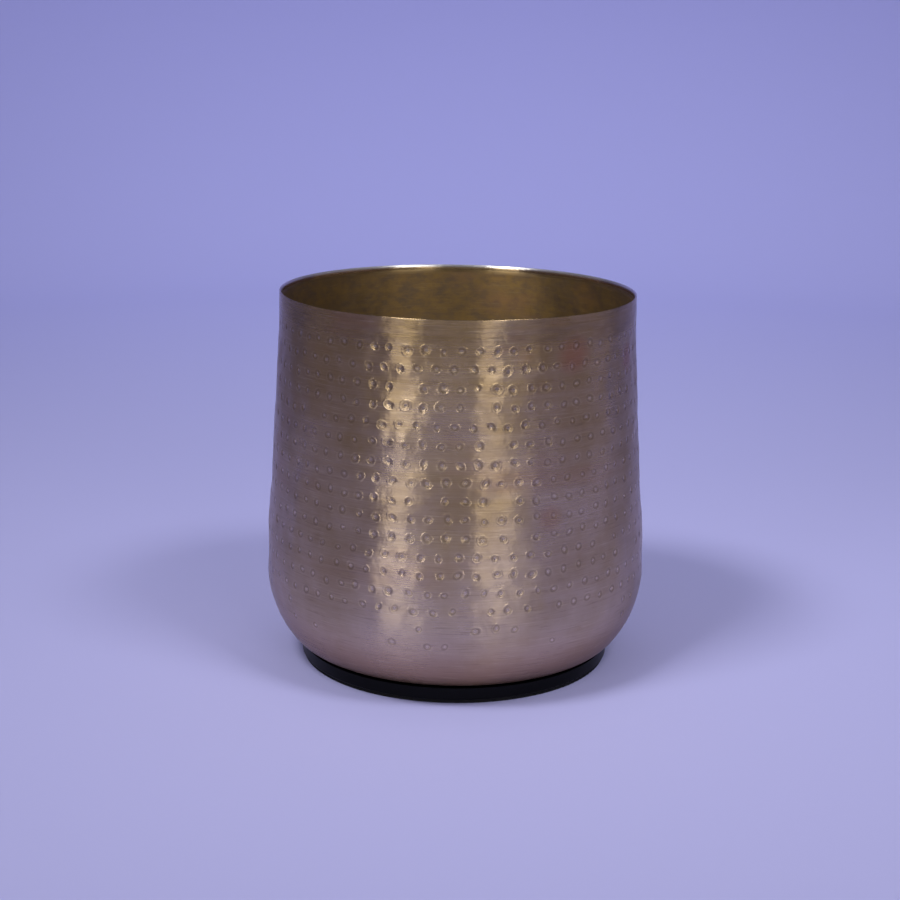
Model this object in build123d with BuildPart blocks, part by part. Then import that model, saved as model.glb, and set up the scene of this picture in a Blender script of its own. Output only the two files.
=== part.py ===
"""A hammered brass cachepot: one spun shell on a brazed foot ring with a rubber tread.

The axis of the pot is Z, and the tread stands on Z = 0. All lengths are in millimetres.
"""

import os
from math import acos, atan2, cos, degrees, hypot, radians, sin

from build123d import *

# Spun shell: outside sizes of the sheet, from the flat base to the rim.
max_diameter = 210.0
rim_diameter = 191.5
shell_height = 196.5
heel_radius = 16.3
heel_turn = 48.4
belly_radius = 54.7
sheet_thickness = 1.2
lip_round_share = 0.4

# Foot ring: a rolled flat bar that holds the edge of the flat base and reaches out under the heel.
ring_reach = 7.0
ring_width = 14.0
ring_height = 6.7
ring_edge_round = 0.8

# Braze seam: the bead in the inner corner between the ring and the base.
braze_leg = 3.0

# Rubber tread: a flat band under the whole ring, inside its eased edges.
tread_height = 2.0
tread_margin = 0.2
tread_edge_round = 0.5

# Heights of the seats, from the floor up.
ring_bottom = tread_height
shell_bottom = ring_bottom + ring_height
shell_top = shell_bottom + shell_height

# The heel and the belly are two tangent arcs between the flat base and the straight wall.
arc_step = belly_radius - heel_radius
belly_centre_r = max_diameter / 2 - belly_radius
belly_centre_z = shell_bottom + heel_radius + arc_step * cos(radians(heel_turn))
base_radius = belly_centre_r + arc_step * sin(radians(heel_turn))

# The wall is the tangent from the rim to the belly, leaning in by this many degrees.
rim_radius = rim_diameter / 2
rim_from_centre_r = rim_radius - belly_centre_r
rim_from_centre_z = shell_top - belly_centre_z
rim_distance = hypot(rim_from_centre_r, rim_from_centre_z)
wall_lean = degrees(atan2(rim_from_centre_z, rim_from_centre_r) - acos(belly_radius / rim_distance))
belly_turn = 90 - heel_turn + wall_lean

ring_outer_radius = base_radius + ring_reach
ring_inner_radius = ring_outer_radius - ring_width
tread_inset = ring_edge_round + tread_margin

os.makedirs("parts", exist_ok=True)

# Shell: the outline is revolved solid, then hollowed to the sheet from its open mouth.
with BuildPart() as pot_shell:
    with BuildSketch(Plane.XZ):
        with BuildLine():
            base = Line((0, shell_bottom), (base_radius, shell_bottom))
            heel = JernArc(base @ 1, base % 1, heel_radius, heel_turn)
            belly = JernArc(heel @ 1, heel % 1, belly_radius, belly_turn)
            wall = Line(belly @ 1, (rim_radius, shell_top))
            Polyline(wall @ 1, (0, shell_top), base @ 0)
        make_face()
    revolve(axis=Axis.Z)
    mouth = pot_shell.faces().sort_by(Axis.Z)[-1]
    offset(amount=-sheet_thickness, openings=mouth)
    lip_edges = pot_shell.edges().group_by(Axis.Z)[-1]
    fillet(lip_edges, radius=lip_round_share * sheet_thickness)
pot_shell.part.label = "pot_shell"
export_step(pot_shell.part, "parts/pot_shell.step")

# Foot ring: its top lies against the flat base, its lower edges are eased.
with BuildPart() as foot_ring:
    with BuildSketch(Plane.XY.offset(ring_bottom)):
        Circle(ring_outer_radius)
        Circle(ring_inner_radius, mode=Mode.SUBTRACT)
    extrude(amount=ring_height)
    lower_edges = foot_ring.edges().group_by(Axis.Z)[0]
    fillet(lower_edges, radius=ring_edge_round)
foot_ring.part.label = "foot_ring"
export_step(foot_ring.part, "parts/foot_ring.step")

# Braze seam: a corner bead with one leg on the base and one on the ring's inner face.
with BuildPart() as braze_seam:
    with BuildSketch(Plane.XZ):
        with BuildLine():
            Polyline(
                (ring_inner_radius, shell_bottom),
                (ring_inner_radius - braze_leg, shell_bottom),
                (ring_inner_radius, shell_bottom - braze_leg),
                close=True,
            )
        make_face()
    revolve(axis=Axis.Z)
braze_seam.part.label = "braze_seam"
export_step(braze_seam.part, "parts/braze_seam.step")

# Tread: it lies on the flat of the ring's underside, and its floor edges are eased.
with BuildPart() as foot_tread:
    with BuildSketch():
        Circle(ring_outer_radius - tread_inset)
        Circle(ring_inner_radius + tread_inset, mode=Mode.SUBTRACT)
    extrude(amount=tread_height)
    floor_edges = foot_tread.edges().group_by(Axis.Z)[0]
    fillet(floor_edges, radius=tread_edge_round)
foot_tread.part.label = "foot_tread"
export_step(foot_tread.part, "parts/foot_tread.step")
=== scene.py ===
"""Looks of a hammered brass cachepot: its dented shell, its black foot and a plain studio."""

import math

import bpy
import numpy as np
from bpy.props import FloatProperty, FloatVectorProperty, IntProperty, PointerProperty
from bpy.types import Operator, Panel, PropertyGroup
from mathutils import Euler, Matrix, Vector


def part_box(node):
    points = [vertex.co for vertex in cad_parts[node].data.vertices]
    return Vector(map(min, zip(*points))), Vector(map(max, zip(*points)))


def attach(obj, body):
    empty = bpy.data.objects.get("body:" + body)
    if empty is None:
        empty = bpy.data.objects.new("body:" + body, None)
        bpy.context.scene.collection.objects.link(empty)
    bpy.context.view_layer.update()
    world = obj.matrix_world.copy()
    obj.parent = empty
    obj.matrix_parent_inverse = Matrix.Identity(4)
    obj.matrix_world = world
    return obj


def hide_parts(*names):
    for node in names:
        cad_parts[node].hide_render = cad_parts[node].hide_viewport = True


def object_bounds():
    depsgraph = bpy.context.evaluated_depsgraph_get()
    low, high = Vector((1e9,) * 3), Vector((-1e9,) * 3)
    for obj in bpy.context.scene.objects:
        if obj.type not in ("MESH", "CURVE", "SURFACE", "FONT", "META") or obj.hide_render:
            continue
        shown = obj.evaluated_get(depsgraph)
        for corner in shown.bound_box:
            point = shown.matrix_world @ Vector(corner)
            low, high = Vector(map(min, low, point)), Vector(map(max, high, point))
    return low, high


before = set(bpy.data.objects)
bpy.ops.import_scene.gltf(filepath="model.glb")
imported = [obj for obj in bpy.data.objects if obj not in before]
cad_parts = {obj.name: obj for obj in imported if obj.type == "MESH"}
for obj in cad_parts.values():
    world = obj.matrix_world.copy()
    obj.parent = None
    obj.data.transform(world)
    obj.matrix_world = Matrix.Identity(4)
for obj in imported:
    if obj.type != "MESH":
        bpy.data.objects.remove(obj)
cad_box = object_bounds()
shell_low, shell_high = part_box("pot_shell")

bl_info = {
    "name": "Hammered cachepot",
    "version": (1, 0, 0),
    "blender": (4, 5, 0),
    "location": "View3D > Sidebar > Cachepot",
    "description": "Builds the dented brass shell of a cachepot, finishes its foot and sets up a studio",
    "category": "Object",
}

BODY = "root"
MM = 0.001


def length(name, description, default):
    """A length in metres that the user can change."""
    return FloatProperty(
        name=name, description=description, default=default, precision=5, subtype="DISTANCE", unit="LENGTH"
    )


def turning(name, description, degrees):
    """An angle that the user can change, given in degrees."""
    return FloatProperty(name=name, description=description, default=math.radians(degrees), subtype="ANGLE")


def colour(name, description, default):
    """A linear colour that the user can change."""
    return FloatVectorProperty(
        name=name, description=description, default=default, size=3, min=0, max=1, subtype="COLOR"
    )


class ShellSettings(PropertyGroup):
    """Sizes of the spun sheet, its dents and the tones of its brass."""

    rim_radius: length("Rim radius", "Outside radius at the rim", 95.75 * MM)
    max_radius: length("Widest radius", "Outside radius at the belly", shell_high.x)
    belly_radius: length("Belly round", "Radius of the arc under the wall", 54.7 * MM)
    heel_radius: length("Heel round", "Radius of the arc that runs into the base", 16.3 * MM)
    heel_turn: turning("Heel turn", "How far the heel turns", 48.4)
    sheet: length("Sheet", "Thickness of the brass sheet", 1.2 * MM)
    dents_around: IntProperty(name="Dents around", description="Dents in one row", default=68, min=3)
    dent_rows: IntProperty(name="Dent rows", description="Rows of dents", default=17, min=1)
    first_row: length("First row", "From the rim to the first row of dents", 15.5 * MM)
    row_pitch: length("Row pitch", "From one row of dents to the next", 9.5 * MM)
    dent_radius: length("Dent radius", "Radius of one dent", 2.55 * MM)
    dent_depth: length("Dent depth", "Depth of one dent", 0.27 * MM)
    dent_scatter: length("Dent scatter", "How far a dent strays from its place", 0.75 * MM)
    ripple: length("Ripple", "Slow unevenness of the hammered sheet", 0.22 * MM)
    quilt: length("Quilt", "Soft swelling of the sheet between its dents", 0.085 * MM)
    flare: length("Flare", "How far the rim turns out", 0.75 * MM)
    bulge: length("Bulge", "How far the sheet stands out above the belly", 0.6 * MM)
    bulge_place: length("Bulge place", "From the rim to the bulge above the belly", 130 * MM)
    lip_crest: length("Lip crest", "From the outside of the sheet to the top of the lip", 0.2 * MM)
    lip_ease: length("Lip ease", "How far the lip is eased down the inside", 2.4 * MM)
    rim_tilt: length("Rim tilt", "How far the rim rises and falls", 0.5 * MM)
    seed: IntProperty(name="Seed", description="Seed of the scatter", default=7)
    brass: colour("Brass", "Clean brass", (0.54, 0.415, 0.315))
    # This brown is tarnish at random and also painted shade that darkens the wall towards the top.
    patina_and_top_shade: colour("Patina", "Brown tarnish on the brass", (0.355, 0.243, 0.112))
    # This dark tone is tarnish in the dents and also painted shade low on the heel.
    grime_and_shade: colour("Grime", "Dark tarnish in the dents and at the base", (0.14, 0.095, 0.06))
    # This light brass is burnish and also a painted highlight in the dents.
    worn_and_highlight: colour("Worn", "Brass that is burnished on the dents", (0.82, 0.68, 0.48))
    # This near white is bare metal and partly a painted glint on the lip.
    bare: colour("Bare lip", "Metal that is rubbed bare inside the lip", (0.92, 0.89, 0.9))
    # This reddish brown is tarnish and also painted shade low on the heel.
    copper_and_heel_shade: colour("Copper", "Reddish tarnish on the brass", (0.40, 0.195, 0.105))
    inside: colour("Inside", "Dull brass of the inside", (0.236, 0.144, 0.05))


class FootSettings(PropertyGroup):
    """Tones of the ring, its braze and its tread."""

    steel: colour("Blackened steel", "Matt black of the foot ring", (0.0015, 0.0015, 0.0018))
    scuff: colour("Scuff", "Worn edges of the foot ring", (0.012, 0.0115, 0.011))
    braze: colour("Braze", "Dull braze in the corner of the ring", (0.40, 0.30, 0.15))
    flux: colour("Flux", "Dark flux on the braze", (0.09, 0.065, 0.04))
    rubber: colour("Rubber", "Tread under the ring", (0.006, 0.006, 0.006))
    dust: colour("Dust", "Dust on the tread", (0.04, 0.039, 0.037))


class StageSettings(PropertyGroup):
    """The studio: its floor and its camera."""

    floor: colour("Floor", "Plain pale lilac of the floor", (0.43, 0.425, 0.745))
    floor_radius: length("Floor radius", "Radius of the flat floor", 1.25)
    sweep_radius: length("Sweep", "Radius of the round between the floor and the wall", 0.45)
    wall_height: length("Wall height", "Height of the round wall", 0.85)
    camera_place: FloatVectorProperty(
        name="Camera",
        description="Place of the camera",
        default=(-0.0034, -0.945, 0.3551),
        subtype="XYZ",
        unit="LENGTH",
    )
    camera_pitch: turning("Pitch", "How far the camera looks down", 14.23)
    camera_roll: turning("Roll", "Turn of the camera about its own axis", 0.65)
    lens: FloatProperty(
        name="Lens", description="Focal length on a 36 mm sensor", default=70.24, unit="CAMERA"
    )


class Value:
    """One output of a node. Arithmetic on it adds Math nodes to its graph."""

    def __init__(self, graph, socket):
        self.graph = graph
        self.socket = socket

    def maths(self, operation, *terms):
        """The outcome of one Math node on numbers or other values."""
        return self.graph.add("ShaderNodeMath", {"operation": operation}, dict(enumerate(terms)))

    def __add__(self, other):
        return self.maths("ADD", self, other)

    def __radd__(self, other):
        return self.maths("ADD", other, self)

    def __sub__(self, other):
        return self.maths("SUBTRACT", self, other)

    def __rsub__(self, other):
        return self.maths("SUBTRACT", other, self)

    def __mul__(self, other):
        return self.maths("MULTIPLY", self, other)

    def __rmul__(self, other):
        return self.maths("MULTIPLY", other, self)


class Graph:
    """The node tree of one material or of the world."""

    def __init__(self, owner):
        owner.use_nodes = True
        self.tree = owner.node_tree
        self.tree.nodes.clear()

    def add(self, kind, settings=None, sockets=None, output=0):
        """Adds a node, sets its settings, then sets or links its sockets, and returns one output."""
        node = self.tree.nodes.new(kind)
        for name, setting in (settings or {}).items():
            if name == "stops":
                self.set_stops(node.color_ramp, setting)
            else:
                setattr(node, name, setting)
        for name, value in (sockets or {}).items():
            if isinstance(value, Value):
                self.tree.links.new(value.socket, node.inputs[name])
            else:
                node.inputs[name].default_value = value
        return Value(self, node.outputs[output]) if node.outputs else node

    @staticmethod
    def set_stops(ramp, stops):
        """Gives a colour ramp its stops, a list of place and grey level."""
        while len(ramp.elements) < len(stops):
            ramp.elements.new(1)
        for element, (place, level) in zip(ramp.elements, stops):
            element.position = place
            element.color = (level, level, level, 1)

    def place(self, scale):
        """Object coordinates stretched by a scale along each axis."""
        here = self.add("ShaderNodeTexCoord", output="Object")
        return self.add("ShaderNodeMapping", {}, {"Vector": here, "Scale": scale})

    def noise(self, scale, detail, roughness):
        """Fractal noise of the object's own space, from 0 to 1."""
        sockets = {"Vector": self.place(scale), "Scale": 1, "Detail": detail, "Roughness": roughness}
        return self.add("ShaderNodeTexNoise", {}, sockets)

    def ramp(self, value, *stops):
        """A grey ramp over a value."""
        return self.add("ShaderNodeValToRGB", {"stops": stops}, {"Fac": value})

    def mix(self, factor, first, second):
        """A colour between two, by a factor."""
        sockets = {"Factor": factor, 6: first, 7: second}
        return self.add("ShaderNodeMix", {"data_type": "RGBA"}, sockets, 2)

    def mark(self, azimuth, above, radius, ragged):
        """A round mark on the leaning wall, 1 at its middle, with an edge that a noise makes ragged."""
        aside = math.radians(azimuth)
        reach = shell_high.x - above / WALL_RISE
        middle = (reach * math.sin(aside), -reach * math.cos(aside), shell_low.z + above)
        sockets = {0: self.place((1, 1, 1)), 1: middle}
        off = self.add("ShaderNodeVectorMath", {"operation": "DISTANCE"}, sockets, "Value")
        return self.ramp(off * (0.5 / radius) + (ragged - 0.5) * RAGGED_EDGE, (0.2, 1), (0.7, 0))

    def attribute(self, name):
        """A number that the mesh carries on its points."""
        return self.add("ShaderNodeAttribute", {"attribute_name": name}, output="Fac")

    def bump(self, height, distance, strength, normal=None):
        """A normal tilted by a height in metres."""
        sockets = {"Height": height, "Distance": distance, "Strength": strength}
        if normal:
            sockets["Normal"] = normal
        return self.add("ShaderNodeBump", {}, sockets)

    def surface(self, sockets):
        """The finished shader, from the values or links of its sockets."""
        shader = self.add("ShaderNodeBsdfPrincipled", {}, sockets)
        self.add("ShaderNodeOutputMaterial", {}, {"Surface": shader})


def opaque(rgb):
    """A colour property as the four numbers that a socket takes."""
    return (*rgb, 1)


# Red tarnish marks on the wall: degrees to the right of the front, then the height above the base and
# the radius in metres. The wall leans in by one in so many, and noise moves a mark's edge by a share.
RED_MARKS = (
    (37, 0.176, 0.008),
    (66, 0.168, 0.006),
    (28, 0.094, 0.005),
    (-150, 0.13, 0.009),
    (120, 0.07, 0.007),
)
WALL_RISE = 20
RAGGED_EDGE = 0.4

# Depths of the fine relief of each finish, in metres.
LIP_RELIEF = 0.00007
BEATEN_RELIEF = 0.00025
CHIP_RELIEF = 0.00012
LINE_RELIEF = 0.00002
STEEL_RELIEF = 0.0002
BRAZE_RELIEF = 0.0012
RUBBER_RELIEF = 0.0001

# Ramps over the height above the base: one over the height in metres that a ramp covers.
PER_WALL = 5
PER_BAND = 4.5
PER_HEEL = 20


def brass_material(settings):
    """Spun antique brass: fine turning lines, brown and red tarnish, painted shade up the wall and on the
    heel, dents burnished and painted with highlights.
    """
    material = bpy.data.materials.new("antique_brass")
    g = Graph(material)

    # Masks of the dents, the inside and the lip, and the grain of the beaten sheet.
    off_dent = g.attribute("reach") * 0.5
    inside = g.attribute("inside")
    edge = g.attribute("edge")
    lines = g.noise((1, 1, 2200), 2, 0.6)
    beaten = g.noise((120, 120, 430), 3, 0.55) * 0.5 + g.noise((190, 190, 130), 2, 0.5) * 0.6
    bands = g.noise((2, 2, 210), 2, 0.5)
    lip = g.ramp(off_dent, (0.42, 0), (0.50, 1), (0.54, 1), (0.64, 0))
    groove = g.ramp(off_dent, (0.18, 0), (0.28, 1), (0.37, 1), (0.46, 0))
    middle = g.ramp(off_dent, (0.1, 1), (0.24, 0))
    chips = g.noise((820, 820, 820), 2, 0.5) * g.ramp(off_dent, (0.4, 1), (0.6, 0))
    lip = lip * g.ramp(g.noise((380, 380, 380), 2, 0.5), (0.42, 0.1), (0.6, 1))

    # Tarnish in clouds, blushes and scratches; by the height above the base, painted shade up the wall and on
    # the heel.
    clouds = g.ramp(g.noise((19, 19, 15), 5, 0.6), (0.36, 0), (0.66, 1))
    blush = g.ramp(g.noise((12, 12, 26), 4, 0.55), (0.56, 0), (0.74, 1))
    scratches = g.noise((60, 60, 1400), 3, 0.6)
    bright = g.ramp(scratches, (0.58, 0), (0.7, 1))
    dark = g.ramp(scratches, (0.3, 1), (0.42, 0))
    height = g.add("ShaderNodeSeparateXYZ", {}, {"Vector": g.place((1, 1, 1))}, "Z") - shell_low.z
    # Brown tarnish mixed with painted shade: the wall darkens towards the top.
    upper_tarnish_and_shade = g.ramp(height * PER_WALL, (0.09, 0), (0.94, 1))
    low = height * PER_HEEL
    # Painted shade on the heel: dark brown that grows towards the base.
    heel_shade = g.ramp(low, (0.01, 0.9), (0.07, 0.65), (0.13, 0.46), (0.2, 0.25), (0.31, 0.13), (0.51, 0))
    # Painted shade on the heel in reddish brown, strongest near the base.
    heel_warm_shade = g.ramp(low, (0.06, 0.8), (0.26, 0.5), (0.51, 0.15), (0.71, 0))

    # Colours of the outside, from clean brass to dark tarnish and painted shade, then the dents, burnished
    # and lit by painted highlights.
    tarnish = upper_tarnish_and_shade + (clouds - 0.5) * 0.6 + (bands - 0.5) * 0.5 + (lines - 0.5) * 0.5
    tone = g.mix(g.ramp(tarnish, (0, 0), (1, 1)), opaque(settings.brass), opaque(settings.patina_and_top_shade))
    for azimuth, above, radius in RED_MARKS:
        blush = blush + g.mark(azimuth, above, radius, clouds) * 1.4
    tone = g.mix(blush * upper_tarnish_and_shade * 0.6 + heel_warm_shade, tone, opaque(settings.copper_and_heel_shade))
    plain = g.ramp(height * PER_BAND, (0.806, 0), (0.836, 1))
    # Darker, ragged patches in the plain band below the rim.
    rubbed = plain * g.ramp(g.noise((70, 70, 240), 4, 0.6), (0.36, 0.28), (0.6, 0))
    # Dark tone from tarnish in the dent grooves, painted shade on the heel and darker patches below the rim.
    tone = g.mix(groove * 0.3 + heel_shade + rubbed, tone, opaque(settings.grime_and_shade))
    # Light brass as burnish and painted highlight in the dents' middles and on their lips.
    tone = g.mix(lip * 0.1 + middle * 0.37, tone, opaque(settings.worn_and_highlight))

    # The dull inside, the bare lip with its painted glint, and the scratches over all.
    mottle = g.ramp(g.noise((60, 60, 90), 5, 0.65), (0.38, 0), (0.64, 1))
    specks = g.ramp(g.noise((170, 170, 300), 3, 0.6), (0.4, 0), (0.62, 1))
    dull = g.mix(mottle * 0.5 + specks * 0.45, opaque(settings.inside), opaque(settings.grime_and_shade))
    dull = g.mix(blush * 0.35, dull, opaque(settings.copper_and_heel_shade))
    # The lip's inner edge is bare and near white, partly a painted glint.
    tone = g.mix(edge, g.mix(inside, tone, dull), opaque(settings.bare))
    bright = bright * (1 - inside * 0.8)
    tone = g.mix(bright * 0.2, g.mix(dark * 0.3, tone, opaque(settings.grime_and_shade)), opaque(settings.worn_and_highlight))

    # Gloss and fine relief.
    rough = 0.295 + (lines - 0.5) * 0.1 + (clouds - 0.5) * 0.05 - middle * 0.12 - plain * 0.03
    rough = rough + inside * 0.6 + edge * 0.15
    normal = g.bump(lip, LIP_RELIEF, 1)
    normal = g.bump(beaten, BEATEN_RELIEF, 1, normal)
    normal = g.bump(chips, CHIP_RELIEF, 1, normal)
    normal = g.bump(lines, LINE_RELIEF, 0.2, normal)
    g.surface({
        "Base Color": tone,
        "Roughness": rough,
        "Metallic": 1 - inside * 0.3,
        "Anisotropic": 0.98,
        "Specular Tint": (0.8, 0.74, 0.76, 1),
        "Anisotropic Rotation": 0.25,
        "Coat Weight": 0.25 * (1 - inside),
        "Coat Roughness": 0.3,
        "Normal": normal,
    })
    return material


def steel_material(settings):
    """Blackened steel: a matt coat, faintly mottled, with pale scuffs."""
    material = bpy.data.materials.new("blackened_steel")
    g = Graph(material)
    mottle = g.noise((140, 140, 140), 4, 0.6)
    scuffs = g.ramp(g.noise((420, 420, 160), 5, 0.7), (0.62, 0), (0.8, 1))
    tone = g.mix(scuffs * 0.6, opaque(settings.steel), opaque(settings.scuff))
    g.surface({
        "Base Color": tone,
        "Roughness": 0.3 + mottle * 0.15,
        "Specular IOR Level": 0.1,
        "Normal": g.bump(mottle, STEEL_RELIEF, 0.3),
    })
    return material


def braze_material(settings):
    """Braze as it froze: dull brass with lumps and dark flux."""
    material = bpy.data.materials.new("braze")
    g = Graph(material)
    lumps = g.noise((160, 160, 160), 3, 0.5)
    flux = g.ramp(g.noise((90, 90, 90), 5, 0.65), (0.45, 0), (0.7, 1))
    tone = g.mix(flux * 0.8, opaque(settings.braze), opaque(settings.flux))
    g.surface({
        "Base Color": tone,
        "Metallic": 0.9,
        "Roughness": 0.4 + flux * 0.3,
        "Normal": g.bump(lumps, BRAZE_RELIEF, 0.6),
    })
    return material


def rubber_material(settings):
    """Black rubber: fine grain and a little dust."""
    material = bpy.data.materials.new("tread_rubber")
    g = Graph(material)
    grain = g.noise((1800, 1800, 1800), 2, 0.5)
    dust = g.ramp(g.noise((300, 300, 300), 4, 0.6), (0.5, 0), (0.8, 1))
    tone = g.mix(dust * 0.35, opaque(settings.rubber), opaque(settings.dust))
    g.surface({
        "Base Color": tone,
        "Roughness": 0.78 + grain * 0.15,
        "Specular IOR Level": 0.2,
        "Normal": g.bump(grain, RUBBER_RELIEF, 0.4),
    })
    return material


class SheetLine:
    """The outline of the spun sheet, measured along its outside from the rim to the axis.

    It is a straight wall, a belly arc, a heel arc and a flat base, each tangent to the next. The wall is
    the tangent from the rim to the belly's circle.
    """

    def __init__(self, settings, bottom, top):
        step = settings.belly_radius - settings.heel_radius
        self.belly_radius = settings.belly_radius
        self.heel_radius = settings.heel_radius
        self.bottom = bottom
        self.belly_r = settings.max_radius - settings.belly_radius
        self.belly_z = bottom + settings.heel_radius + step * math.cos(settings.heel_turn)
        self.base_radius = self.belly_r + step * math.sin(settings.heel_turn)
        across = settings.rim_radius - self.belly_r
        rise = top - self.belly_z
        reach = math.hypot(across, rise)
        self.lean = math.atan2(rise, across) - math.acos(settings.belly_radius / reach)
        self.wall_end = math.sqrt(reach**2 - settings.belly_radius**2)
        belly_turn = self.lean + math.pi / 2 - settings.heel_turn
        self.belly_end = self.wall_end + settings.belly_radius * belly_turn
        self.heel_end = self.belly_end + settings.heel_radius * settings.heel_turn
        self.axis_end = self.heel_end + self.base_radius

    def at(self, run):
        """Radius, height and outward normal at lengths along the line."""
        belly = self.lean - (np.clip(run, self.wall_end, self.belly_end) - self.wall_end) / self.belly_radius
        heel = (np.clip(run, self.belly_end, self.heel_end) - self.belly_end) / self.heel_radius
        turn = belly - heel
        wall = np.minimum(run, self.wall_end) - self.wall_end
        centre_r = np.where(run < self.belly_end, self.belly_r, self.base_radius)
        centre_z = np.where(run < self.belly_end, self.belly_z, self.bottom + self.heel_radius)
        radius = np.where(run < self.belly_end, self.belly_radius, self.heel_radius)
        flat = np.maximum(run - self.heel_end, 0)
        r = centre_r + radius * np.cos(turn) + wall * math.sin(self.lean) - flat
        z = centre_z + radius * np.sin(turn) - wall * math.cos(self.lean)
        return r, z, np.cos(turn), np.sin(turn)


# Parts in each side of a dent's patch. Each row is shifted round the pot by a whole number of parts.
PARTS = 3

# The most that a point's distance off a dent counts, in dent radii.
FARTHEST = 2


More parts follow.
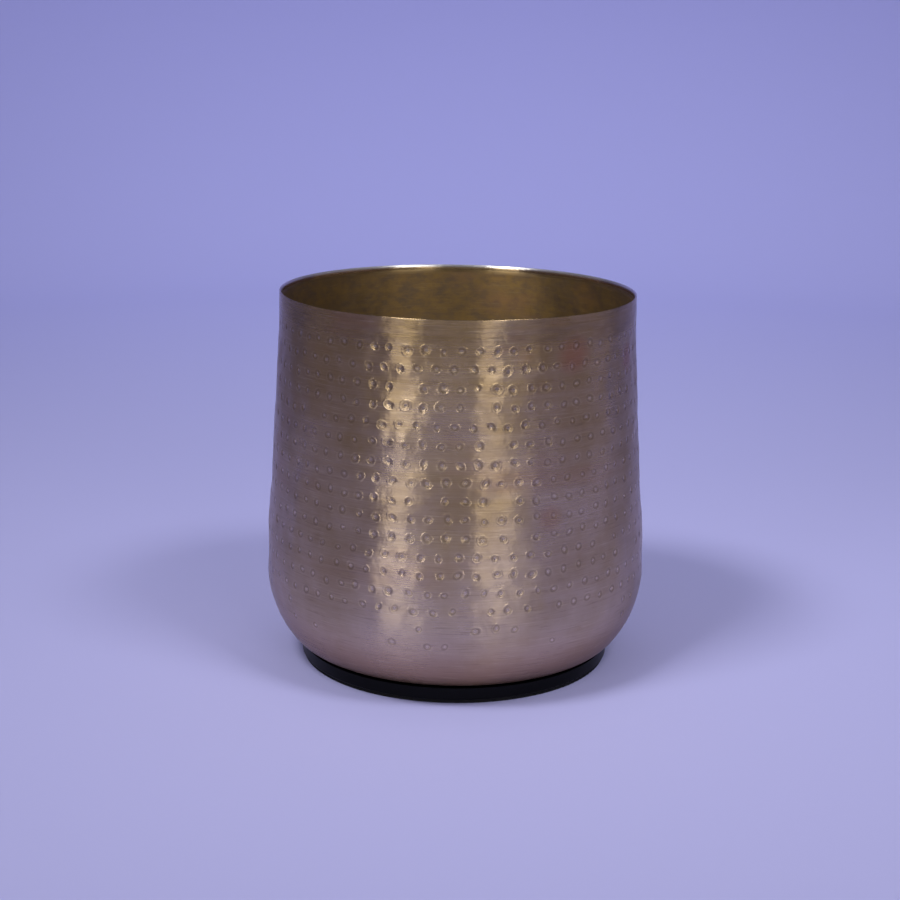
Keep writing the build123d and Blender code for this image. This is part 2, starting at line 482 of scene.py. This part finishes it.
class Hammering:
    """Rows of punched dents and the soft unevenness between them, as a push along the sheet's normal."""

    # How far dents differ: shares of their radius and depth, lean of the punch and stretch.
    RADIUS_RANGE = (0.82, 1.12)
    DEPTH_RANGE = (0.4, 1.25)
    LEAN_RANGE = (-0.65, 0.65)
    STRETCH_RANGE = (0.84, 1.2)

    # Share of the places in a row that are struck, in most rows and in the last ones.
    STRUCK = 0.97
    LAST_STRUCK = (0.4, 0.2)

    # One dent: its flat middle and the lip round it in dent radii, heights in dent depths, and the least
    # and the most that the lean of the punch makes of its depth.
    FLAT_MIDDLE = 0.25
    BOWL_DEPTH = 0.85
    SHOULDER_DEPTH = 0.22
    LIP_PLACE = 1.12
    LIP_WIDTH = 0.2
    LIP_HEIGHT = 0.12
    LEAN_LIMITS = (0.4, 1.6)

    # In row pitches: how far a shoulder spreads, and how far off its row a dent is felt. The lip fades out
    # over the last share of the shoulder.
    SHOULDER_REACH = 0.46
    ROW_REACH = 0.7
    LIP_FADE = 0.25

    # Waves of the sheet: how many, most turns round the pot, most radians in a metre down the sheet. The
    # long ones are held back a little, and a share of all of them is left at the rim.
    SLOW_WAVES = (40, 26, 170)
    QUICK_WAVES = (60, 60, 520)
    LONG_HELD_BACK = 0.2
    RIM_SHARE = 0.25

    # The flare's ends, in distances from the rim to the first row. The bulge's places from its middle, in
    # row pitches, and its heights as shares of the bulge.
    FLARE_ENDS = np.array([-0.2, 1.3])
    BULGE_PLACES = np.array([-3.1, 0, 2.8, 4.4, 6.8])
    BULGE_HEIGHTS = np.array([0, 1, -0.2, -0.5, 0])

    def __init__(self, settings, line):
        self.line = line
        self.rows = settings.dent_rows
        self.around = settings.dents_around
        self.first = settings.first_row
        self.pitch = settings.row_pitch
        self.reach = settings.row_pitch * self.SHOULDER_REACH
        self.ripple = settings.ripple
        random = np.random.default_rng(settings.seed)
        shape = (self.rows, self.around)
        self.phase = random.integers(0, PARTS, self.rows)
        scatter = random.uniform(-1, 1, (2, *shape)) * settings.dent_scatter
        column = np.arange(self.around) + 0.5 + self.phase[:, None] / PARTS
        run = self.first + np.arange(self.rows)[:, None] * self.pitch
        self.run = run + scatter[0]
        radius_here = line.at(self.run)[0]
        self.angle = column * math.tau / self.around + scatter[1] / radius_here
        self.radius = settings.dent_radius * random.uniform(*self.RADIUS_RANGE, shape)
        self.depth = settings.dent_depth * random.uniform(*self.DEPTH_RANGE, shape)
        self.skew = random.uniform(*self.LEAN_RANGE, (2, *shape)) / settings.dent_radius
        self.stretch = random.uniform(*self.STRETCH_RANGE, shape)
        self.twist = random.uniform(0, math.pi, shape)
        struck = np.full(self.rows, self.STRUCK)
        struck[-len(self.LAST_STRUCK):] = self.LAST_STRUCK
        self.depth *= random.random(shape) < struck[:, None]
        self.slow = self.swell(random, *self.SLOW_WAVES)
        self.quick = self.swell(random, *self.QUICK_WAVES)
        self.quilt = settings.quilt
        bulge_places = settings.bulge_place + self.BULGE_PLACES * self.pitch
        self.step_places = np.append(self.FLARE_ENDS * self.first, bulge_places)
        self.step_heights = np.append([settings.flare, 0], self.BULGE_HEIGHTS * settings.bulge)

    def swell(self, random, count, turns, climb):
        """Seeded waves: whole turns round the pot, a rate down the sheet, a start and a weight for each.

        A wave weighs one over its rate, and the weights give the sum a mean square of one.
        """
        around = random.integers(0, turns, count)
        down = random.uniform(-climb, climb, count)
        start = random.uniform(0, math.tau, count)
        weight = 1 / np.hypot(around / turns + self.LONG_HELD_BACK, down / climb)
        return around, down, start, weight / np.sqrt(np.sum(weight**2) / 2)

    def dents(self, angle, run, spread):
        """Depth of the dent under each point, and how far off its middle the point is, in dent radii.

        A dent has a flat middle and a raised cosine from there to its edge: half its depth times one plus
        the cosine of pi times the share of the slope. It is deeper on the side to which the punch leaned,
        and stretched a little along a direction of its own. A low bell curve stands round it as its lip,
        and a soft shoulder fades out before the next dent.
        """
        row = np.clip(np.rint((run - self.first) / self.pitch).astype(int), 0, self.rows - 1)
        turn = angle * self.around / math.tau - self.phase[row] / PARTS
        column = np.floor(turn).astype(int) % self.around
        radius_here = self.line.at(run)[0]
        aside = radius_here * ((angle - self.angle[row, column] + math.pi) % math.tau - math.pi)
        along = run - self.run[row, column]
        stretch, twist = self.stretch[row, column], self.twist[row, column]
        longwise = (aside * np.cos(twist) + along * np.sin(twist)) * stretch
        crosswise = (along * np.cos(twist) - aside * np.sin(twist)) / stretch
        away = np.hypot(longwise, crosswise)
        near = away / (self.radius[row, column] * spread)
        lean = 1 + aside * self.skew[0, row, column] + along * self.skew[1, row, column]
        slope = np.clip((near - self.FLAT_MIDDLE) / (1 - self.FLAT_MIDDLE), 0, 1)
        bowl = (0.5 + 0.5 * np.cos(math.pi * slope)) * np.clip(lean, *self.LEAN_LIMITS)
        fade = np.clip((self.reach - away) / (self.LIP_FADE * self.reach), 0, 1)
        lip = np.exp(-(((near - self.LIP_PLACE) / self.LIP_WIDTH) ** 2)) * self.LIP_HEIGHT * fade
        shoulder = np.clip(1 - (away / self.reach) ** 2, 0, 1) ** 2 * self.SHOULDER_DEPTH
        struck = (self.depth[row, column] > 0) & (np.abs(along) < self.pitch * self.ROW_REACH)
        depth = np.where(struck, self.depth[row, column], 0)
        press = depth * (bowl * self.BOWL_DEPTH + shoulder - lip)
        return press, np.where(struck, np.clip(near, 0, FARTHEST), FARTHEST)

    def uneven(self, angle, run):
        """Weighted sums of slow and quick cosines, which close round the pot and die out over the belly.

        They are calmer at the rim. The sheet also turns out at the rim and bulges above the belly:
        S-curves, three times the square less twice the cube of a share, between heights along it.
        """
        push = 0
        for height, (around, down, start, weight) in ((self.ripple, self.slow), (self.quilt, self.quick)):
            waves = np.cos(angle[..., None] * around + run[..., None] * down + start)
            push = push + height * (waves @ weight)
        fade = np.clip((self.line.belly_end - run) / (self.line.belly_end - self.line.wall_end), 0, 1)
        share = np.clip((run[..., None] - self.step_places[:-1]) / np.diff(self.step_places), 0, 1)
        steps = self.step_heights[0] + (share**2 * (3 - 2 * share)) @ np.diff(self.step_heights)
        return push * fade * np.clip(run / self.first, self.RIM_SHARE, 1) + steps


def ring_quads(first, rings, around):
    """Faces between rings of points that follow each other, each ring closed round the axis."""
    ring = np.arange(rings - 1)[:, None] * around
    here = np.arange(around)
    beside = (here + 1) % around
    corners = [ring + here, ring + around + here, ring + around + beside, ring + beside]
    return first + np.stack(np.broadcast_arrays(*corners), -1).reshape(-1, 4)


def pole_fan(pole, ring, flip):
    """Triangles from a pole to a ring of points round it."""
    beside = np.roll(ring, -1)
    sides = (beside, ring) if flip else (ring, beside)
    return np.stack([np.full_like(ring, pole), *sides], -1)


class ShellMesh:
    """Points and faces of the dented shell, closed over the lip, the inside and the base.

    A plain grid of rings covers the inside, the lip, the band below the rim and the base. Between the
    rows' edges each dent has a patch of its own: rings of points round its middle, tied to the patch's
    edge, so that the dent stays round with few faces.
    """

    # Rings round a dent in dent radii, and points in each: one for each part of the patch's four sides.
    RING_SHARES = np.array([1.24, 1.03, 0.72, 0.36])
    SPOKES = 4 * PARTS

    # Rings of the plain grid: on the base as shares of its radius, and counts for the other stretches.
    BASE_SHARES = np.array([0.12, 0.35, 0.6, 0.85])
    HEEL_RINGS = 9
    BELLY_RINGS = 13
    BAND_RINGS = 5
    LIP_RINGS = 15
    OUTER_BAND_RINGS = 8
    OUTER_HEEL_RINGS = 16

    # The inside's own rings end this many eases of the lip below the rim.
    BAND_END = 1.5

    # Through the sheet a dent grows wider and loses depth by these shares.
    DENT_WIDENS = 0.5
    DENT_FADES = 0.35

    # The tilt dies out over so many distances from the rim to the first row. The rim is lowest at this
    # angle from +X, in radians.
    TILT_REACH = 4
    TILT_ANGLE = 0.4

    # The bare edge, partly a painted glint, fades out between these shares of the lip's ease.
    BARE_FROM = 0.2
    BARE_TO = 0.6

    def __init__(self, settings, line, hammering):
        self.settings = settings
        self.line = line
        self.hammering = hammering
        self.points = []
        self.reach = []
        self.inner = []
        self.edge = []
        self.quads = []
        self.triangles = []
        self.count = 0
        self.around = PARTS * settings.dents_around
        self.ring_angles = np.arange(self.around) * math.tau / self.around

    def place(self, angle, run, depth):
        """Adds points at an angle, a length along the outline and a depth in the sheet.

        Each point of the outline is pushed along its normal by the unevenness less the dent and the depth,
        spun to its angle, and near the rim lowered by the tilt times the cosine of the angle. Returns the
        points' numbers.
        """
        angle, run, depth = np.broadcast_arrays(angle, run, depth)
        share = depth / self.settings.sheet
        press, near = self.hammering.dents(angle, run, 1 + self.DENT_WIDENS * share)
        push = self.hammering.uneven(angle, run) - press * (1 - self.DENT_FADES * share) - depth
        r, z, out, up = self.line.at(run)
        r = r + out * push
        tilt = np.clip(1 - run / self.settings.first_row / self.TILT_REACH, 0, 1) * self.settings.rim_tilt
        z = z + up * push - tilt * np.cos(angle - self.TILT_ANGLE)
        self.points.append(np.stack([r * np.cos(angle), r * np.sin(angle), z], -1).reshape(-1, 3))
        self.reach.append(np.maximum(near, FARTHEST * share).ravel())
        past_lip = np.clip(run / self.settings.lip_ease - 1, 0, 1)
        self.inner.append((np.clip(share * 2 - 1, 0, 1) * past_lip).ravel())
        over_crest = np.clip((depth - self.settings.lip_crest) / self.settings.lip_crest, 0, 1)
        eased = run / self.settings.lip_ease
        below_crest = np.clip((eased - self.BARE_FROM) / (self.BARE_TO - self.BARE_FROM), 0, 1)
        self.edge.append((over_crest * (1 - below_crest)).ravel())
        numbers = self.count + np.arange(angle.size).reshape(angle.shape)
        self.count += angle.size
        return numbers

    def rings(self, runs, depths):
        """Adds a grid of whole rings down a stretch of the outline."""
        numbers = self.place(self.ring_angles, np.asarray(runs)[:, None], np.asarray(depths)[:, None])
        self.quads.append(ring_quads(numbers[0, 0], len(runs), self.around))
        return numbers

    def pole(self, ring, depth, flip):
        """Closes a ring with a point on the axis."""
        number = self.place(np.zeros(1), np.array([self.line.axis_end]), np.array([depth]))[0]
        self.triangles.append(pole_fan(number, ring, flip))

    def upper_rings(self):
        """The inside from its floor up, the rounded lip and the plain band below the rim.

        The lip is two quarter ellipses that meet at its crest, the inner one as long as the ease.
        """
        sheet = self.settings.sheet
        line = self.line
        edge = self.hammering.first - self.hammering.pitch / 2
        crest, ease = self.settings.lip_crest, self.settings.lip_ease
        base = line.axis_end - line.base_radius * self.BASE_SHARES
        heel = np.linspace(line.heel_end, line.belly_end, self.HEEL_RINGS)
        wall_rings = PARTS * self.settings.dent_rows + self.BELLY_RINGS
        wall = np.linspace(line.belly_end, edge, wall_rings)[1:]
        band = np.linspace(edge, self.BAND_END * ease, self.BAND_RINGS)[1:]
        inner = np.concatenate([base, heel, wall, band])
        turn = np.linspace(0, math.pi, self.LIP_RINGS)
        lip_run = np.where(turn < math.pi / 2, ease, crest) * (1 - np.sin(turn))
        lip_depth = crest + np.where(turn < math.pi / 2, sheet - crest, crest) * np.cos(turn)
        outer = np.linspace(sheet, edge, self.OUTER_BAND_RINGS)
        runs = np.concatenate([inner, lip_run, outer])
        depths = np.concatenate([np.full(inner.size, sheet), lip_depth, np.zeros(outer.size)])
        numbers = self.rings(runs, depths)
        self.pole(numbers[0], sheet, False)
        return numbers[-1]

    def lower_rings(self, edge):
        """The heel and the flat base below the last row of dents."""
        line = self.line
        heel = np.linspace(edge, line.heel_end, self.OUTER_HEEL_RINGS)
        base = line.axis_end - line.base_radius * self.BASE_SHARES[::-1]
        runs = np.concatenate([heel, base])
        numbers = self.rings(runs, np.zeros(runs.size))
        self.pole(numbers[-1], 0, True)
        return numbers[0]

    def patches(self, top):
        """The rows of dents. A patch is a square with divided sides, tied to the rings round its dent."""
        marks = self.hammering
        rows, columns = marks.rows, marks.around
        edges = marks.first + (np.arange(1, rows) - 0.5) * marks.pitch
        between = self.place(self.ring_angles, edges[:, None], 0.0)
        last = self.lower_rings(marks.first + (rows - 0.5) * marks.pitch)
        edge = np.concatenate([top[None], between, last[None]])
        side_angle = (np.arange(columns) + marks.phase[:, None] / PARTS) * math.tau / columns
        side_run = edges[0] + (np.arange(rows)[:, None] - 1 + np.arange(1, PARTS) / PARTS) * marks.pitch
        side = self.place(side_angle[:, :, None], side_run[:, None, :], 0.0)
        corner = PARTS * np.arange(columns) + marks.phase[:, None]
        row = np.arange(rows)[:, None]
        upper = [edge[row, (corner + k) % self.around] for k in reversed(range(PARTS + 1))]
        lower = [edge[row + 1, (corner + k) % self.around] for k in range(PARTS + 1)]
        left = [side[..., k] for k in range(PARTS - 1)]
        right = [np.roll(part, -1, axis=1) for part in reversed(left)]
        outline = [*upper, *left, *lower, *right]
        spoke = math.pi / 4 + np.arange(self.SPOKES) * math.tau / self.SPOKES
        away = marks.radius[..., None, None] * self.RING_SHARES[:, None]
        radius_here = self.line.at(marks.run)[0][..., None, None]
        ring_angle = marks.angle[..., None, None] + away * np.cos(spoke) / radius_here
        ring_run = marks.run[..., None, None] - away * np.sin(spoke)
        ring = self.place(ring_angle, ring_run, 0.0)
        loops = np.concatenate([np.stack(outline, -1)[:, :, None, :], ring], 2)
        beside = np.roll(loops, -1, axis=3)
        faces = [loops[:, :, :-1], beside[:, :, :-1], beside[:, :, 1:], loops[:, :, 1:]]
        self.quads.append(np.stack(faces, -1).reshape(-1, 4))
        middle = self.place(marks.angle, marks.run, 0.0)[..., None]
        middle = np.broadcast_to(middle, loops[:, :, -1].shape)
        self.triangles.append(np.stack([loops[:, :, -1], beside[:, :, -1], middle], -1).reshape(-1, 3))

    def build(self, name):
        """Makes the mesh object. Its points carry their distance off a dent, the inside and the bare edge,
        which is partly a painted glint.
        """
        self.patches(self.upper_rings())
        mesh = bpy.data.meshes.new(name)
        faces = np.concatenate(self.quads).tolist() + np.concatenate(self.triangles).tolist()
        mesh.from_pydata(np.concatenate(self.points), [], faces)
        for mask, parts in (("reach", self.reach), ("inside", self.inner), ("edge", self.edge)):
            attribute = mesh.attributes.new(mask, "FLOAT", "POINT")
            attribute.data.foreach_set("value", np.concatenate(parts).astype(np.float32))
        mesh.shade_smooth()
        mesh.validate()
        shell = bpy.data.objects.new(name, mesh)
        bpy.context.scene.collection.objects.link(shell)
        return shell


class CACHEPOT_OT_shell(Operator):
    """Build the dented brass shell in place of the smooth one"""

    bl_idname = "cachepot.shell"
    bl_label = "Hammered shell"

    def execute(self, context):
        settings = context.scene.cachepot_shell
        line = SheetLine(settings, shell_low.z, shell_high.z)
        shell = ShellMesh(settings, line, Hammering(settings, line)).build("hammered_shell")
        shell.data.materials.append(brass_material(settings))
        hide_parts("pot_shell")
        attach(shell, BODY)
        return {"FINISHED"}


class CACHEPOT_OT_foot(Operator):
    """Finish the ring, the braze and the tread under the base"""

    bl_idname = "cachepot.foot"
    bl_label = "Foot"

    def execute(self, context):
        settings = context.scene.cachepot_foot
        finishes = {"foot_ring": steel_material, "braze_seam": braze_material, "foot_tread": rubber_material}
        for node, finish in finishes.items():
            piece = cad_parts[node]
            piece.data.materials.clear()
            piece.data.materials.append(finish(settings))
        return {"FINISHED"}


# Tints of the lamps and the even light of the sky.
COOL = (0.77, 0.81, 0.92)
WARM = (0.98, 0.98, 0.94)
AMBER = (1, 0.96, 0.8)
ROSY = (1, 0.86, 0.84)
SKY = (0.17, 0.176, 0.202, 1)

# Points that lamps face: the middle of the pot, the floor behind it on the right, and the wall.
POT = (0, 0, 0.1)
FLOOR = (0.1, 0.15, 0)
WALL = (0, 1.55, 0.2)

# Each lamp: its name, its azimuth in degrees with its distance and height in metres, the point that it
# faces, its width and height in metres, its spread in degrees, its watts and its tint.
LAMPS = (
    ("left_box", (-46, 0.85, 1.42), FLOOR, (0.44, 0.32), 80, 2.58, WARM),
    ("right_box", (47, 0.91, 1.34), FLOOR, (0.44, 0.32), 80, 1.75, WARM),
    ("left_strip", (-34, 1.6, 0.75), POT, (0.46, 0.5), 80, 0.67, WARM),
    ("right_strip", (21, 1.6, 0.75), POT, (0.46, 0.5), 80, 0.62, WARM),
    ("right_card", (74, 1.3, 0.35), POT, (2.2, 0.6), 180, 1.12, ROSY),
    ("left_card", (-74, 1.3, 0.35), POT, (2.2, 0.6), 180, 0.8, ROSY),
    ("front_card", (0, 1.5, 0.3), POT, (2.4, 0.5), 180, 2.95, AMBER),
    ("wall_box", (180, 0.85, 1.6), WALL, (1.4, 0.6), 120, 7.2, COOL),
)

# Floor: rings on its flat as shares of its radius, rings in its sweep and points in a ring.
FLOOR_SHARES = np.array([0.05, 0.3, 0.6, 0.8])
SWEEP_RINGS = 13
FLOOR_SIDES = 96

# Width of the camera's sensor, in millimetres.
SENSOR_WIDTH = 36


class CACHEPOT_OT_stage(Operator):
    """Lay the floor, hang the lamps and set the camera"""

    bl_idname = "cachepot.stage"
    bl_label = "Studio"

    def execute(self, context):
        settings = context.scene.cachepot_stage
        self.lay_floor(settings)
        self.light_world(context.scene)
        for lamp in LAMPS:
            self.hang_lamp(*lamp)
        self.set_camera(context.scene, settings)
        context.scene.view_settings.view_transform = "Standard"
        return {"FINISHED"}

    @staticmethod
    def lay_floor(settings):
        """A round floor that sweeps up into a wall: a line of flat, quarter circle and wall, spun about Z."""
        turn = np.linspace(0, math.pi / 2, SWEEP_RINGS)
        flat = settings.floor_radius * FLOOR_SHARES
        r = np.concatenate([flat, settings.floor_radius + settings.sweep_radius * np.sin(turn)])
        z = np.concatenate([np.zeros(flat.size), settings.sweep_radius * (1 - np.cos(turn))])
        r = np.append(r, r[-1])
        z = np.append(z, settings.wall_height)
        angle = np.arange(FLOOR_SIDES) * math.tau / FLOOR_SIDES
        spun = np.broadcast_arrays(r[:, None] * np.cos(angle), r[:, None] * np.sin(angle), z[:, None])
        points = np.append(np.stack(spun, -1).reshape(-1, 3), [[0, 0, 0]], 0)
        points = points + np.array([0, 0, cad_box[0].z])
        faces = ring_quads(0, r.size, FLOOR_SIDES)[:, ::-1].tolist()
        faces += pole_fan(r.size * FLOOR_SIDES, np.arange(FLOOR_SIDES), False).tolist()
        mesh = bpy.data.meshes.new("floor")
        mesh.from_pydata(points, [], faces)
        mesh.shade_smooth()
        floor = bpy.data.objects.new("floor", mesh)
        bpy.context.scene.collection.objects.link(floor)
        material = bpy.data.materials.new("pale_floor")
        g = Graph(material)
        g.surface({"Base Color": opaque(settings.floor), "Roughness": 0.9, "Specular IOR Level": 0.1})
        mesh.materials.append(material)

    @staticmethod
    def light_world(scene):
        """An even, dim sky over the round wall."""
        scene.world = bpy.data.worlds.new("studio")
        g = Graph(scene.world)
        shader = g.add("ShaderNodeBackground", {}, {"Color": SKY, "Strength": 1.0})
        g.add("ShaderNodeOutputWorld", {}, {"Surface": shader})

    @staticmethod
    def hang_lamp(name, place, aim, size, spread, watts, tint):
        """A soft box that faces a point. Its azimuth is 0 in front of the pot and 90 to the right."""
        lamp = bpy.data.lights.new(name, "AREA")
        lamp.shape = "RECTANGLE"
        lamp.size, lamp.size_y = size
        lamp.energy = watts
        lamp.color = tint
        lamp.spread = math.radians(spread)
        box = bpy.data.objects.new(name, lamp)
        azimuth, distance, height = place
        aside = math.radians(azimuth)
        box.location = (distance * math.sin(aside), -distance * math.cos(aside), height)
        box.rotation_euler = (box.location - Vector(aim)).to_track_quat("Z", "Y").to_euler()
        box.visible_camera = False
        bpy.context.scene.collection.objects.link(box)

    @staticmethod
    def set_camera(scene, settings):
        """The photograph's view: a little above the rim, looking down at the pot."""
        data = bpy.data.cameras.new("camera")
        data.lens = settings.lens
        data.sensor_width = SENSOR_WIDTH
        camera = bpy.data.objects.new("camera", data)
        camera.location = settings.camera_place
        turn = Euler((math.pi / 2 - settings.camera_pitch, 0, 0)).to_matrix()
        roll = Euler((0, 0, settings.camera_roll)).to_matrix()
        camera.rotation_euler = (turn @ roll).to_euler()
        scene.collection.objects.link(camera)
        scene.camera = camera


class CACHEPOT_PT_sidebar(Panel):
    """The steps that make the cachepot, in order"""

    bl_label = "Cachepot"
    bl_idname = "CACHEPOT_PT_sidebar"
    bl_space_type = "VIEW_3D"
    bl_region_type = "UI"
    bl_category = "Cachepot"

    def draw(self, context):
        steps = (
            ("cachepot_shell", CACHEPOT_OT_shell),
            ("cachepot_foot", CACHEPOT_OT_foot),
            ("cachepot_stage", CACHEPOT_OT_stage),
        )
        for settings_name, step in steps:
            box = self.layout.box()
            settings = getattr(context.scene, settings_name)
            for name in settings.__annotations__:
                box.prop(settings, name)
            box.operator(step.bl_idname)


CLASSES = (
    ShellSettings,
    FootSettings,
    StageSettings,
    CACHEPOT_OT_shell,
    CACHEPOT_OT_foot,
    CACHEPOT_OT_stage,
    CACHEPOT_PT_sidebar,
)


def register():
    """Registers the classes and gives the scene its settings."""
    for cls in CLASSES:
        bpy.utils.register_class(cls)
    bpy.types.Scene.cachepot_shell = PointerProperty(type=ShellSettings)
    bpy.types.Scene.cachepot_foot = PointerProperty(type=FootSettings)
    bpy.types.Scene.cachepot_stage = PointerProperty(type=StageSettings)


def unregister():
    """Takes the settings and the classes away again."""
    for name in ("cachepot_shell", "cachepot_foot", "cachepot_stage"):
        delattr(bpy.types.Scene, name)
    for cls in reversed(CLASSES):
        bpy.utils.unregister_class(cls)


def main():
    """Makes the cachepot and its studio."""
    register()
    bpy.ops.cachepot.shell()
    bpy.ops.cachepot.foot()
    bpy.ops.cachepot.stage()


if __name__ == "__main__":
    main()
